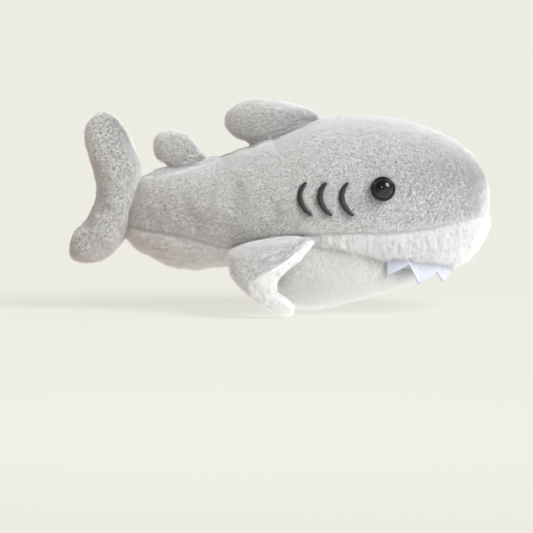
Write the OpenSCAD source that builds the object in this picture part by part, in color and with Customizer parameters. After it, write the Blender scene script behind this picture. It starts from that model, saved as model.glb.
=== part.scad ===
// Small plush shark: sewn fabric panels over fibre stuffing, five sewn-on fins,
// plastic safety eyes with their washers, stitched gills and a felt strip of teeth.
// It stands level on its chin, with its nose at +X and its back at +Z.

/* [Body] */
// Length of the shark, from its tail to its nose
body_length = 120; // [110:1:130]

/* [Fabric] */
// Thickness of the body's plush, backing and pressed pile together
plush_t = 1.5; // [1.2:0.1:1.8]
// Thickness of the fins' plush
fin_plush_t = 1.2; // [0.9:0.1:1.4]
// Thickness of the felt that the teeth are cut from
felt_t = 0.9; // [0.6:0.1:1.2]
// Air left between the stuffing and the plush
stuffing_gap = 0.3; // [0.2:0.05:0.5]
// Air left between a fin's root and the body it is sewn to
root_gap = 1.1; // [1:0.1:1.4]

/* [Eyes] */
// Diameter of an eye's rim
eye_d = 7; // [6:0.5:8]
// Diameter of an eye's dome
eye_dome_d = 5.6; // [5:0.2:6]
// Diameter of an eye's stem
eye_stem_d = 2.4; // [2:0.2:3]
// Length of an eye's stem
eye_stem_l = 6.5; // [5:0.5:8]
// Diameter of the washer that locks an eye
washer_d = 9; // [8:0.5:10]

/* [Gills] */
// Height of one stitched gill
gill_h = 9; // [7:0.5:10]
// Width of a gill's satin stitch
gill_w = 1.5; // [1.2:0.1:1.8]

/* [Teeth] */
// Number of teeth on each side of the snout
teeth_a_side = 4; // [3:1:5]
// Height of a tooth from its valley to its tip
tooth_h = 3.2; // [2.5:0.1:4]

/* [Hidden] */

k = body_length / 120;      // scale of every profile from the nominal 120 mm shark
eps = 1e-4;
top_squareness = 2.3;
chin_top_squareness = 3.2;
grey = [0.62, 0.63, 0.61];
white = [0.94, 0.94, 0.92];
pale_grey = [0.85, 0.86, 0.84];
felt_white = [0.93, 0.93, 0.99];
fibre = [0.97, 0.97, 0.95];

// Upper body: x, top, widest height, bottom, half width, squareness below the widest.
upper_rows = [for (r = [
    [-42.4, 25.5, 25.5, 25.5,  0.0, 2.3],
    [-41.0, 33.2, 26.0, 18.3,  4.0, 2.3],
    [-37.0, 39.6, 27.0, 15.2,  7.5, 2.3],
    [-28.0, 41.5, 27.5, 11.7, 12.2, 2.3],
    [-16.0, 44.4, 28.5, 12.8, 16.8, 2.5],
    [ -2.0, 49.4, 30.0, 14.0, 20.6, 3.0],
    [ 12.0, 54.7, 31.0, 14.2, 22.8, 3.4],
    [ 26.0, 55.7, 31.5, 14.4, 23.2, 3.5],
    [ 40.0, 53.0, 31.5, 14.6, 20.8, 3.4],
    [ 51.0, 48.0, 31.5, 15.8, 15.6, 3.0],
    [ 57.6, 41.0, 32.0, 23.0,  9.0, 2.5],
    [ 60.0, 32.5, 32.5, 32.5,  0.0, 2.3]
]) [r[0] * k, r[1] * k, r[2] * k, r[3] * k, r[4] * k, r[5]]];

// Chin, in the same columns. It dips below the ground where it is cut flat to rest.
chin_rows = [for (r = [
    [-9.5, 11.0, 11.0, 11.0,  0.0, 2.6],
    [-6.0, 12.4,  9.6,  3.4, 11.0, 2.6],
    [ 1.0, 13.5,  9.5, -1.3, 16.5, 2.6],
    [10.0, 13.7,  9.8, -1.2, 18.2, 2.6],
    [18.0, 13.9, 10.4,  0.9, 18.2, 2.6],
    [29.0, 14.0, 11.6,  4.6, 15.6, 2.6],
    [37.5, 14.1, 12.8,  8.2,  9.6, 2.6],
    [41.0, 13.2, 13.2, 13.2,  0.0, 2.6]
]) [r[0] * k, r[1] * k, r[2] * k, r[3] * k, r[4] * k, r[5]]];

// Height of the seam between the grey back and the white underside, along x.
seam_line = [
    [-43, 23.6], [-31, 21.8], [-23, 20.0], [-15, 18.0], [-2, 20.6], [8, 22.8],
    [20, 23.2], [30, 23.2], [37, 23.7], [43, 24.3], [49, 25.3], [54, 26.3], [60, 27.6]
] * k;

// Fins: front edge, rear edge and half thickness of each station, from root to tip.
dorsal_rows = [
    [10.4, 0, 55.5,   -9.2, 0, 47.9, 1.0],
    [ 7.2, 0, 57.4,  -12.4, 0, 48.7, 3.4],
    [ 2.6, 0, 59.2,  -15.0, 0, 50.8, 4.4],
    [-2.6, 0, 60.3,  -16.1, 0, 53.6, 4.3],
    [-7.6, 0, 60.7,  -15.6, 0, 56.2, 3.2],
    [-12.1, 0, 58.9, -12.1, 0, 58.9, 0.0]
] * k;
rear_dorsal_rows = [
    [-21.2, 0, 44.3,  -33.1, 0, 41.6, 0.9],
    [-22.7, 0, 46.2,  -35.6, 0, 43.2, 3.1],
    [-24.6, 0, 48.8,  -36.6, 0, 46.8, 3.8],
    [-27.3, 0, 51.0,  -35.7, 0, 49.8, 3.0],
    [-31.6, 0, 51.9,  -31.6, 0, 51.9, 0.0]
] * k;
// The tail runs from its lower tip to its upper tip.
tail_rows = [
    [-59.8, 0, 14.8,  -59.8, 0, 14.8, 0.0],
    [-54.6, 0, 12.6,  -59.4, 0, 20.8, 3.4],
    [-48.0, 0, 14.4,  -55.9, 0, 25.6, 4.4],
    [-43.6, 0, 21.0,  -53.6, 0, 30.6, 4.6],
    [-43.4, 0, 28.5,  -53.1, 0, 34.8, 4.7],
    [-41.6, 0, 37.0,  -54.0, 0, 39.6, 4.7],
    [-39.6, 0, 42.6,  -55.2, 0, 44.0, 4.6],
    [-41.3, 0, 48.0,  -55.9, 0, 48.8, 4.3],
    [-44.2, 0, 53.0,  -55.0, 0, 53.4, 3.3],
    [-50.0, 0, 57.1,  -50.0, 0, 57.1, 0.0]
] * k;
// The right pectoral fin hangs down and back, and turns as it hangs. Each station is a ring
// through four points: front seam, middle of the grey cover, rear seam, middle of the white cover.
pectoral_root = [beside_body(10 * k, 21.4 * k), beside_body(-10.6 * k, 17.6 * k)];
pectoral_root_half = 1.1 * k;
pectoral_rings = concat(
    [flat_ring(pectoral_root[0], pectoral_root[1], pectoral_root_half)],
    [
        [[  7.0, -25.0, 19.9], [ -1.6, -24.0, 21.4], [-11.4, -20.0, 15.6], [  3.6, -22.6, 15.2]],
        [[  2.4, -28.0, 17.9], [ -6.4, -26.0, 20.4], [-11.6, -21.2, 12.6], [  1.6, -24.4, 11.6]],
        [[ -3.0, -29.8, 15.2], [-11.2, -27.4, 17.2], [-10.0, -22.4,  9.4], [  0.2, -25.6,  8.0]],
        [[ -8.4, -30.2, 11.4], [-13.8, -28.4, 12.4], [ -5.4, -23.8,  4.8], [  3.4, -26.6,  4.0]]
    ] * k,
    [flat_ring([-11.8, -29.4, 7.8] * k, [2.4, -27.0, 1.5] * k, 1.0 * k)]);

// Mouth: half of an ellipse seen from above, with the felt hanging from it.
mouth_x = 30 * k;
mouth_reach = 21.6 * k;
mouth_half_w = 18.9 * k;
felt_top = [17.9, 17.0] * k;      // at the corners of the mouth and at its front
felt_valley = [14.6, 12.0] * k;
valley_share = 0.7;               // where a valley lies between two tips
front_tooth_share = 0.45;         // how much of a tooth is left at the front
steps_a_slope = 3;

eye_at = [28.6, 35.9] * k;
gill_x = [7.0, 12.6, 18.7] * k;
gill_z = 33.0 * k;
gill_bow = 2.2 * k;
gill_lean = 1.4 * k;
gill_steps = 8;
stitch_rise = 0.5;
stitch_depth = 0.7;
stitch_crown = 0.1;

chin_stuffing_gap = 2 * stuffing_gap;
pectoral_span = [0.1, 0.9];
rings_a_row = 3;
back_steps = 12;
under_steps = 14;
fin_u_steps = 14;
fin_v_steps = 8;
loft_steps = 28;

// ---- curves ----

function unit(v) = v / norm(v);
function signed_power(v, p) = sign(v) * pow(abs(v), p);
// The row beyond an end that closes at a point mirrors the row before it.
function body_row(rows, i) =
    i < 0 ? swap_body(rows[1]) : i >= len(rows) ? swap_body(rows[len(rows) - 2]) : rows[i];
function swap_body(r) = [r[0], r[3], r[2], r[1], -r[4], r[5]];
function swap_fin(r) = [r[3], r[4], r[5], r[0], r[1], r[2], -r[6]];
function fin_row(rows, i) =
    i < 0 ? (rows[0][6] == 0 ? swap_fin(rows[1]) : 2 * rows[0] - rows[1])
    : i >= len(rows) ? swap_fin(rows[len(rows) - 2]) : rows[i];
function blend_rows(a, b, c, d, t) =
    (2 * b + (c - a) * t + (2 * a - 5 * b + 4 * c - d) * t * t
     + (3 * b - a - 3 * c + d) * t * t * t) / 2;
function body_station(rows, u) =
    let (n = len(rows) - 1, i = min(floor(u * n), n - 1), t = u * n - i)
    blend_rows(body_row(rows, i - 1), rows[i], rows[i + 1], body_row(rows, i + 2), t);
function fin_station(rows, u) =
    let (n = len(rows) - 1, i = min(floor(u * n), n - 1), t = u * n - i)
    blend_rows(fin_row(rows, i - 1), rows[i], rows[i + 1], fin_row(rows, i + 2), t);

// ---- body surface: u runs from tail to nose, and a from 0 at the back round by +Y ----

function section(s, a, top_power) =
    let (low = cos(a) < 0, p = 2 / (low ? s[5] : top_power))
    [s[0], s[4] * signed_power(sin(a), p),
     s[2] + (low ? s[2] - s[3] : s[1] - s[2]) * signed_power(cos(a), p)];
function skin(rows, u, a, top_power) = section(body_station(rows, u), a, top_power);
function skin_normal(rows, u, a, top_power) =
    let (
        du = 0.003, da = 2,
        n = cross(
            skin(rows, u, a + da, top_power) - skin(rows, u, a - da, top_power),
            skin(rows, min(u + du, 1), a, top_power) - skin(rows, max(u - du, 0), a, top_power)),
        out = skin(rows, u, a, top_power) - [body_station(rows, u)[0], 0, body_station(rows, u)[2]]
    )
    unit(n * out < 0 ? -n : n);
function under_skin(rows, u, a, depth, top_power) =
    u <= eps ? rows[0][0] * [1, 0, 0] + [depth, 0, rows[0][2]]
    : u >= 1 - eps ? [rows[len(rows) - 1][0] - depth, 0, rows[len(rows) - 1][2]]
    : skin(rows, u, a, top_power) - depth * skin_normal(rows, u, a, top_power);

function find_u(rows, x, lo = 0, hi = 1, n = 18) =
    n == 0 ? (lo + hi) / 2
    : let (mid = (lo + hi) / 2)
      body_station(rows, mid)[0] < x ? find_u(rows, x, mid, hi, n - 1) : find_u(rows, x, lo, mid, n - 1);
// The angle at which a section of the upper body has this height, on its +Y side.
function angle_at(s, z) =
    z < s[2]
    ? 180 - acos(pow(min((s[2] - z) / max(s[2] - s[3], eps), 1), s[5] / 2))
    : acos(pow(min((z - s[2]) / max(s[1] - s[2], eps), 1), top_squareness / 2));
function side_point(x, z, depth) =
    let (u = find_u(upper_rows, x))
    under_skin(upper_rows, u, angle_at(body_station(upper_rows, u), z), depth, top_squareness);
function flip_y(p) = [p[0], -p[1], p[2]];
function beside_body(x, z) = flip_y(side_point(x, z, -root_gap));
// A thin ring about the line between two points.
function flat_ring(a, b, half) =
    [a, (a + b) / 2 + [0, -0.7, 0.7] * half, b, (a + b) / 2 - [0, -0.7, 0.7] * half];

// ---- seams of the upper body ----

function seam_clear(u) =
    let (s = body_station(upper_rows, u)) lookup(s[0], seam_line) - s[3];
// Where the white underside ends in a point, near the tail or under the nose.
function seam_end(inside, outside, n = 20) =
    let (mid = (inside + outside) / 2)
    n == 0 ? mid : seam_clear(mid) > 0 ? seam_end(mid, outside, n - 1) : seam_end(inside, mid, n - 1);
seam_tail_u = seam_end(0.2, 0);
seam_nose_u = seam_end(0.8, 1);
seam_split_u = 5 / 11;
function seam_angle(u) =
    u <= seam_tail_u + eps || u >= seam_nose_u - eps ? 180
    : let (s = body_station(upper_rows, u)) angle_at(s, lookup(s[0], seam_line));

ring_count = (len(upper_rows) - 1) * rings_a_row;
plain_us = [for (i = [0:ring_count]) i / ring_count];
function clear_of(u, marks) = len([for (m = marks) if (abs(u - m) < 0.006) 1]) == 0;
tail_us = [for (u = plain_us) if (u < seam_tail_u && clear_of(u, [seam_tail_u])) u];
belly_us = concat(
    [seam_tail_u],
    [for (u = plain_us) if (u > seam_tail_u && u < seam_split_u && clear_of(u, [seam_tail_u, seam_split_u])) u],
    [seam_split_u]);
muzzle_us = concat(
    [seam_split_u],
    [for (u = plain_us) if (u > seam_split_u && u < seam_nose_u && clear_of(u, [seam_split_u, seam_nose_u])) u],
    [seam_nose_u]);
nose_us = [for (u = plain_us) if (u > seam_nose_u && clear_of(u, [seam_nose_u])) u];
back_us = concat(tail_us, belly_us, [for (i = [1:len(muzzle_us) - 1]) muzzle_us[i]], nose_us);

// ---- solids from grids of points ----

// A closed solid between two grids of the same shape.
module between(outer, inner) {
    rows = len(outer);
    cols = len(outer[0]);
    n = rows * cols;
    points = concat([for (r = outer) each r], [for (r = inner) each r]);
    function at(i, j) = i * cols + j;
    skin_faces = [for (i = [0:rows - 2]) for (j = [0:cols - 2]) each [
        [at(i, j), at(i + 1, j + 1), at(i + 1, j)],
        [at(i, j), at(i, j + 1), at(i + 1, j + 1)]
    ]];
    lining_faces = [for (f = skin_faces) [f[0] + n, f[2] + n, f[1] + n]];
    side_walls = [for (i = [0:rows - 2]) each [
        [at(i, 0), at(i + 1, 0), at(i + 1, 0) + n],
        [at(i, 0), at(i + 1, 0) + n, at(i, 0) + n],
        [at(i, cols - 1), at(i + 1, cols - 1) + n, at(i + 1, cols - 1)],
        [at(i, cols - 1), at(i, cols - 1) + n, at(i + 1, cols - 1) + n]
    ]];
    end_walls = [for (j = [0:cols - 2]) each [
        [at(0, j), at(0, j + 1) + n, at(0, j + 1)],
        [at(0, j), at(0, j) + n, at(0, j + 1) + n],
        [at(rows - 1, j), at(rows - 1, j + 1), at(rows - 1, j + 1) + n],
        [at(rows - 1, j), at(rows - 1, j + 1) + n, at(rows - 1, j) + n]
    ]];
    polyhedron(points, concat(skin_faces, lining_faces, side_walls, end_walls));
}

// A closed solid from rings of points, with a single point at each end.
module lofted(first, rings, last) {
    rows = len(rings);
    cols = len(rings[0]);
    points = concat([for (r = rings) each r], [first, last]);
    function at(i, j) = i * cols + j % cols;
    polyhedron(points, concat(
        [for (i = [0:rows - 2]) for (j = [0:cols - 1]) each [
            [at(i, j), at(i + 1, j + 1), at(i + 1, j)],
            [at(i, j), at(i, j + 1), at(i + 1, j + 1)]
        ]],
        [for (j = [0:cols - 1]) [rows * cols, at(0, j + 1), at(0, j)]],
        [for (j = [0:cols - 1]) [rows * cols + 1, at(rows - 1, j), at(rows - 1, j + 1)]]
    ));
}

// Keeps a point of the chin's lining or stuffing this deep inside its flat base.
function above_base(p, depth) = [p[0], p[1], max(p[2], depth)];

// ---- fin surface: u runs from root to tip, and v goes over one side from front to rear ----

function fin_point(rows, u, v, side, inset, shrink = 1) =
    let (
        s = fin_station(rows, u),
        before = fin_station(rows, max(u - 0.02, 0)),
        after = fin_station(rows, min(u + 0.02, 1)),
        front = [s[0], s[1], s[2]],
        rear = [s[3], s[4], s[5]],
        chord = front - rear,
        along = [for (i = [0:2]) after[i] + after[i + 3] - before[i] - before[i + 3]],
        across = cross(chord, along),
        half = max(norm(chord) / 2 - inset, 0) * shrink,
        thick = max(s[6] - inset, 0.1) * shrink
    )
    norm(chord) < eps || norm(across) < eps ? (front + rear) / 2
    : (front + rear) / 2 + unit(chord) * half * cos(180 * v) + unit(across) * side * thick * sin(180 * v);
// The lining closes to a point at both ends, inside the outer surface.
function end_taper(u) = sqrt(max(1 - pow(abs(2 * u - 1), 6), 0));
function lining_u(u, span) = span[0] + (span[1] - span[0]) * u;

module fin_cover(rows, side, span) {
    us = [for (i = [0:fin_u_steps]) i / fin_u_steps];
    vs = [for (j = [0:fin_v_steps]) side > 0 ? j / fin_v_steps : 1 - j / fin_v_steps];
    between(
        [for (u = us) [for (v = vs) fin_point(rows, u, v, side, 0)]],
        [for (u = us) [for (v = vs)
            fin_point(rows, lining_u(u, span), v, side, fin_plush_t, end_taper(u))]]);
}

module fin_stuffing(rows, span) {
    inset = fin_plush_t + stuffing_gap;
    us = [for (i = [1:fin_u_steps - 1]) i / fin_u_steps];
    ring = [for (j = [0:2 * fin_v_steps - 1]) j / fin_v_steps];
    color(fibre) lofted(
        fin_point(rows, lining_u(0.02, span), 0, 1, inset, 0),
        [for (u = us) [for (v = ring)
            fin_point(rows, lining_u(u, span), v <= 1 ? v : 2 - v, v <= 1 ? 1 : -1, inset, end_taper(u))]],
        fin_point(rows, lining_u(0.98, span), 0, 1, inset, 0));
}

// ---- pectoral fin: u runs from root to tip, and v round the ring, in quarters from the front seam ----

function round_ring(ring, v) =
    let (i = floor(v), t = v - i)
    blend_rows(ring[(i + 3) % 4], ring[i % 4], ring[(i + 1) % 4], ring[(i + 2) % 4], t);
function past_ends(rows, i) =
    i < 0 ? 2 * rows[0] - rows[1]
    : i >= len(rows) ? 2 * rows[len(rows) - 1] - rows[len(rows) - 2] : rows[i];
function pectoral_point(u, v, inset, shrink = 1) =
    let (
        n = len(pectoral_rings) - 1,
        i = min(floor(u * n), n - 1),
        t = u * n - i,
        ring = blend_rows(
            past_ends(pectoral_rings, i - 1), pectoral_rings[i],
            pectoral_rings[i + 1], past_ends(pectoral_rings, i + 2), t),
        middle = (ring[0] + ring[1] + ring[2] + ring[3]) / 4,
        out = round_ring(ring, v) - middle
    )
    middle + out * max(1 - inset / max(norm(out), eps), 0.1) * shrink;

module pectoral_cover(from) {
    us = [for (i = [0:fin_u_steps]) i / fin_u_steps];
    vs = [for (j = [fin_v_steps:-1:0]) from + 2 * j / fin_v_steps];
    between(
        [for (u = us) [for (v = vs) pectoral_point(u, v, 0)]],
        [for (u = us) [for (v = vs)
            pectoral_point(lining_u(u, pectoral_span), v, fin_plush_t, end_taper(u))]]);
}

module pectoral_stuffing() {
    inset = fin_plush_t + stuffing_gap;
    us = [for (i = [1:fin_u_steps - 1]) i / fin_u_steps];
    ring = [for (j = [2 * fin_v_steps - 1:-1:0]) 2 * j / fin_v_steps];
    color(fibre) lofted(
        pectoral_point(lining_u(0.02, pectoral_span), 0, inset, 0),
        [for (u = us) [for (v = ring) pectoral_point(lining_u(u, pectoral_span), v, inset, end_taper(u))]],
        pectoral_point(lining_u(0.98, pectoral_span), 0, inset, 0));
}

// ---- body pieces ----

module back_panel() {
    function row(u, depth) = [for (j = [0:back_steps])
        under_skin(upper_rows, u, seam_angle(u) * j / back_steps, depth, top_squareness)];
    color(grey) difference() {
        between([for (u = back_us) row(u, 0)], [for (u = back_us) row(u, plush_t)]);
        at_eye() cylinder(d = eye_stem_d + 0.1, h = 4 * plush_t, center = true, $fn = 48);
    }
}

module under_panel(us) {
    function row(u, depth) = [for (j = [0:under_steps])
        let (a = seam_angle(u))
        under_skin(upper_rows, u, a + (360 - 2 * a) * j / under_steps, depth, top_squareness)];
    color(white) between([for (u = us) row(u, 0)], [for (u = us) row(u, plush_t)]);
}

chin_us = [for (i = [0:21]) i / 21];
// The plush is squeezed where the chin closes to an edge.
function chin_plush(u) = let (s = body_station(chin_rows, u)) max(min(plush_t, 0.22 * (s[1] - s[3])), 0.3);
module chin_cover(from, to) {
    function row(u, depth) = [for (j = [0:under_steps])
        let (p = under_skin(chin_rows, u, from + (to - from) * j / under_steps, depth, chin_top_squareness))
        depth > 0 ? above_base(p, depth) : p];
    between([for (u = chin_us) row(u, 0)], [for (u = chin_us) row(u, chin_plush(u))]);
}

module chin_panel() {
    color(pale_grey) difference() {
        chin_cover(90, 270);
        translate([-body_length, -body_length, -body_length]) cube([2 * body_length, 2 * body_length, body_length]);
    }
}

module mouth_lining() {
    color(pale_grey) chin_cover(-90, 90);
}

module stuffing_of(rows, top_power) {
    depth = plush_t + stuffing_gap;
    us = [for (i = [1:loft_steps - 1]) i / loft_steps];
    lofted(
        under_skin(rows, 0, 0, depth, top_power),
        [for (u = us) [for (a = [0:15:345]) under_skin(rows, u, a, depth, top_power)]],
        under_skin(rows, 1, 0, depth, top_power));
}

module body_stuffing() {
    color(fibre) difference() {
        stuffing_of(upper_rows, top_squareness);
        for (side = [0, 1]) mirror([0, side, 0]) at_eye() translate([0, 0, -eye_stem_l - 1.2])
            cylinder(d = washer_d + 0.6, h = eye_stem_l + 1.2, $fn = 64);
    }
}

module chin_stuffing() {
    depth = plush_t + chin_stuffing_gap;
    us = [for (i = [2:loft_steps - 2]) i / loft_steps];
    function ring(u) = [for (a = [0:20:340])
        above_base(under_skin(chin_rows, u, a, depth, chin_top_squareness), depth)];
    function tip(u) = let (s = body_station(chin_rows, u)) [s[0], 0, (s[1] + s[3]) / 2];
    color(fibre) lofted(tip(1.5 / loft_steps), [for (u = us) ring(u)], tip(1 - 1.5 / loft_steps));
}

// ---- teeth ----

// Each tooth has a steep edge behind and a long slope in front. s is 0 at a corner, 1 at the front.
tooth_pitch = 1 / (teeth_a_side - 1 + front_tooth_share);
tooth_stops = concat(
    [for (i = [0:teeth_a_side - 1])
        let (slope = i == teeth_a_side - 1 ? front_tooth_share : valley_share)
        each concat(
            [for (j = [0:steps_a_slope - 1])
                let (t = j / steps_a_slope) [(i + slope * t) * tooth_pitch, 1 - t]],
            i == teeth_a_side - 1 ? []
            : [[(i + slope) * tooth_pitch, 0], [(i + (1 + slope) / 2) * tooth_pitch, 0.5]])],
    [[1, 0]]);
function felt_column(s, tip, side, depth) =
    let (
        a = 90 * (1 - s),
        out = unit([cos(a) / mouth_reach, side * sin(a) / mouth_half_w, 0]),
        p = [mouth_x + mouth_reach * cos(a), side * mouth_half_w * sin(a), 0] - out * depth,
        top = felt_top[0] + (felt_top[1] - felt_top[0]) * s,
        low = felt_valley[0] + (felt_valley[1] - felt_valley[0]) * s - tip * tooth_h * k
    )
    [for (t = [0, 0.5, 1]) p + [-1.6 * k * t * s, 0, top + (low - top) * t]];
module teeth_strip() {
    n = len(tooth_stops);
    function column(i, depth) =
        i < n ? felt_column(tooth_stops[i][0], tooth_stops[i][1], 1, depth)
        : let (m = 2 * n - 2 - i) felt_column(tooth_stops[m][0], tooth_stops[m][1], -1, depth);
    color(felt_white) between(
        [for (i = [0:2 * n - 2]) column(i, 0)],
        [for (i = [0:2 * n - 2]) column(i, felt_t)]);
}

// ---- eyes ----

eye_point = side_point(eye_at[0], eye_at[1], 0);
eye_normal = unit(eye_point - side_point(eye_at[0], eye_at[1], 1));
module at_eye() {
    translate(eye_point)
        rotate([0, acos(eye_normal[2]), atan2(eye_normal[1], eye_normal[0])])
            children();
}

module eye() {
    rim_h = 0.8;
    dome_h = 2.3;
    color("black") at_eye() translate([0, 0, 0.15]) rotate_extrude($fn = 64) {
        difference() {
            union() {
                translate([0, rim_h - 0.4]) square([eye_d / 2 - 0.4, 0.4]);
                square([eye_d / 2, rim_h - 0.4]);
                translate([eye_d / 2 - 0.4, rim_h - 0.4]) circle(r = 0.4, $fn = 32);
                translate([0, -eye_stem_l]) square([eye_stem_d / 2, eye_stem_l]);
                translate([0, rim_h]) intersection() {
                    translate([0, dome_h - eye_dome_r()]) circle(r = eye_dome_r(), $fn = 96);
                    square([eye_dome_d, eye_dome_d]);
                }
            }
            translate([-2 * eye_d, -2 * eye_stem_l]) square([2 * eye_d, 4 * eye_stem_l]);
        }
    }
}
// Radius of the sphere whose cap has the dome's width and height.
function eye_dome_r() = let (h = 2.3, r = eye_dome_d / 2) (r * r + h * h) / (2 * h);

module eye_washer() {
    washer_t = 1.4;
    color("white") at_eye() translate([0, 0, -plush_t - 0.2 - washer_t - 0.9]) difference() {
        cylinder(d = washer_d, h = washer_t, $fn = 64);
        translate([0, 0, -1]) cylinder(d = eye_stem_d + 0.06, h = washer_t + 2, $fn = 48);
    }
}

// ---- gills ----

// One row of a gill's stitches, from its front edge to its rear edge.
function stitch_row(x, t, depth) =
    let (
        bow = gill_bow * (1 - pow(2 * t - 1, 2)),
        middle = x - bow + gill_lean * t,
        taper = 0.35 + 0.65 * sqrt(max(1 - pow(2 * t - 1, 4), 0)),
        half = gill_w / 2 * taper
    )
    [for (w = [1, 0, -1])
        side_point(middle + w * half, gill_z + gill_h * k * (0.5 - t), depth - (w == 0 ? stitch_crown : 0))];
module gill_stitches() {
    ts = [for (i = [0:gill_steps]) i / gill_steps];
    color("black") for (x = gill_x) between(
        [for (t = ts) stitch_row(x, t, -stitch_rise)],
        [for (t = ts) stitch_row(x, t, stitch_depth)]);
}

// ---- every node ----

dorsal_span = [0.1, 0.9];
rear_dorsal_span = [0.12, 0.88];
tail_span = [0.08, 0.93];

module in_grey() { color(grey) children(); }
module in_white() { color(white) children(); }
module on_right() { mirror([0, 1, 0]) children(); }

module back_panel_left() { back_panel(); }
module back_panel_right() { on_right() back_panel(); }
module belly_panel() { under_panel(belly_us); }
module muzzle_panel() { under_panel(muzzle_us); }
module eye_left() { eye(); }
module eye_right() { on_right() eye(); }
module eye_washer_left() { eye_washer(); }
module eye_washer_right() { on_right() eye_washer(); }
module gill_stitches_left() { gill_stitches(); }
module gill_stitches_right() { on_right() gill_stitches(); }
module dorsal_fin_left() { in_grey() fin_cover(dorsal_rows, -1, dorsal_span); }
module dorsal_fin_right() { in_grey() fin_cover(dorsal_rows, 1, dorsal_span); }
module dorsal_fin_stuffing() { fin_stuffing(dorsal_rows, dorsal_span); }
module rear_dorsal_fin_left() { in_grey() fin_cover(rear_dorsal_rows, -1, rear_dorsal_span); }
module rear_dorsal_fin_right() { in_grey() fin_cover(rear_dorsal_rows, 1, rear_dorsal_span); }
module rear_dorsal_fin_stuffing() { fin_stuffing(rear_dorsal_rows, rear_dorsal_span); }
module tail_fin_left() { in_grey() fin_cover(tail_rows, -1, tail_span); }
module tail_fin_right() { in_grey() fin_cover(tail_rows, 1, tail_span); }
module tail_fin_stuffing() { fin_stuffing(tail_rows, tail_span); }
module pectoral_right_upper() { in_grey() pectoral_cover(0); }
module pectoral_right_lower() { in_white() pectoral_cover(2); }
module pectoral_right_stuffing() { pectoral_stuffing(); }
module pectoral_left_upper() { on_right() pectoral_right_upper(); }
module pectoral_left_lower() { on_right() pectoral_right_lower(); }
module pectoral_left_stuffing() { on_right() pectoral_right_stuffing(); }

back_panel_left();
back_panel_right();
belly_panel();
muzzle_panel();
chin_panel();
mouth_lining();
body_stuffing();
chin_stuffing();
teeth_strip();
eye_left();
eye_right();
eye_washer_left();
eye_washer_right();
gill_stitches_left();
gill_stitches_right();
dorsal_fin_left();
dorsal_fin_right();
dorsal_fin_stuffing();
rear_dorsal_fin_left();
rear_dorsal_fin_right();
rear_dorsal_fin_stuffing();
tail_fin_left();
tail_fin_right();
tail_fin_stuffing();
pectoral_left_upper();
pectoral_left_lower();
pectoral_left_stuffing();
pectoral_right_upper();
pectoral_right_lower();
pectoral_right_stuffing();
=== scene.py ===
"""The looks of a small plush shark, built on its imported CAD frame."""

import itertools
import math

import bmesh
import bpy
import numpy as np
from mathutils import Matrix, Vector


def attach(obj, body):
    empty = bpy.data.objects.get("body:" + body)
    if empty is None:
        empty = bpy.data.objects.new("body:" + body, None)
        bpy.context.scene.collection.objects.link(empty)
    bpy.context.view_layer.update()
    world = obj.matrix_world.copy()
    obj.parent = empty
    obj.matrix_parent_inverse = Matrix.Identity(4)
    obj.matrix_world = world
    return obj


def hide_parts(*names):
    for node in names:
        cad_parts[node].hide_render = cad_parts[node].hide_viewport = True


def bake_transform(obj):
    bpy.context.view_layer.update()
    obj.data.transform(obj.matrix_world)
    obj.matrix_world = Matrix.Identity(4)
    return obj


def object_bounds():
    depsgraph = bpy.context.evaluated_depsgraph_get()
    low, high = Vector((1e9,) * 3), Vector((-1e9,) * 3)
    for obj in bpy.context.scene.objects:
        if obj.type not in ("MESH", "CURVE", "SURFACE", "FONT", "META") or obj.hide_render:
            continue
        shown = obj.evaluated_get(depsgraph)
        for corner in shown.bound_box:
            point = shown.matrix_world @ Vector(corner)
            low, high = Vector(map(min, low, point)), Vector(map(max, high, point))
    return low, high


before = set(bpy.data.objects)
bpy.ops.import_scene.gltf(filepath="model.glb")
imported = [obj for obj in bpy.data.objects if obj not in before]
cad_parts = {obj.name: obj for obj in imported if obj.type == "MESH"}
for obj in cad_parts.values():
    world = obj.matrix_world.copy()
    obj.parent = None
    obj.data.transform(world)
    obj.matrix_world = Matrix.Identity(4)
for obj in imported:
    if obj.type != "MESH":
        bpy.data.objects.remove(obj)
cad_low, cad_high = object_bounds()
MM = (cad_high[0] - cad_low[0]) / 120  # every length below is in millimetres of the 120 mm shark

FIN_PILE_ROOM = 0.5
PILE_ROOM = 0.7  # the skin lies this far inside the CAD solid, and its pile fills the rest
BODY_CLOTH = 0.8
FIN_CLOTH = 0.6
BODY_STEP = 0.5
FIN_STEP = 0.4

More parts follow.
